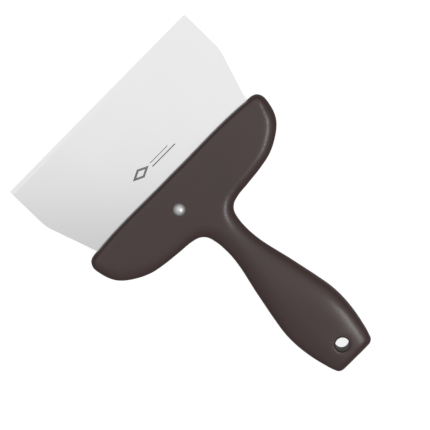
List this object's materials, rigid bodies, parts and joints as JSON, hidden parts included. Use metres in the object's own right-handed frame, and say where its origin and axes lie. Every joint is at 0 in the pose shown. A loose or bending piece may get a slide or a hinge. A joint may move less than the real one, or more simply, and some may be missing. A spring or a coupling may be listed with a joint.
{
  "type": "flexible putty knife",
  "caption": "Wide flexible putty knife: thin spring-steel blade set in a moulded plastic T-shaped handle with a waisted grip, a rivet and a hanging hole.",
  "frame": {"origin": "on the plane the knife lies on, under the middle of the box that holds the whole knife", "axes": "+Y along the handle towards the cutting edge, +X across the blade to the right, +Z out of the front face"},
  "size_m": [0.16, 0.234, 0.0205],
  "materials": {
    "handle_plastic": "satin, moulded, dark brown-grey",
    "blade_steel": "fine ground spring steel",
    "tang_steel": "plain rolled spring steel",
    "rivet_metal": "satin polished"
  },
  "bodies": {
    "handle": {"handle": "handle_plastic", "blade_tang": "tang_steel", "rivet_post": "rivet_metal", "rivet_socket": "rivet_metal"},
    "blade": {"blade": "blade_steel"}
  },
  "joints": [
    {"name": "blade_flex", "type": "hinge", "parent": "handle", "child": "blade", "pos_m": [0, 0.0518, 0.0065], "axis": [1, 0, 0], "range_deg": [-20, 20], "stiffness_Nm_per_rad": 14}
  ]
}
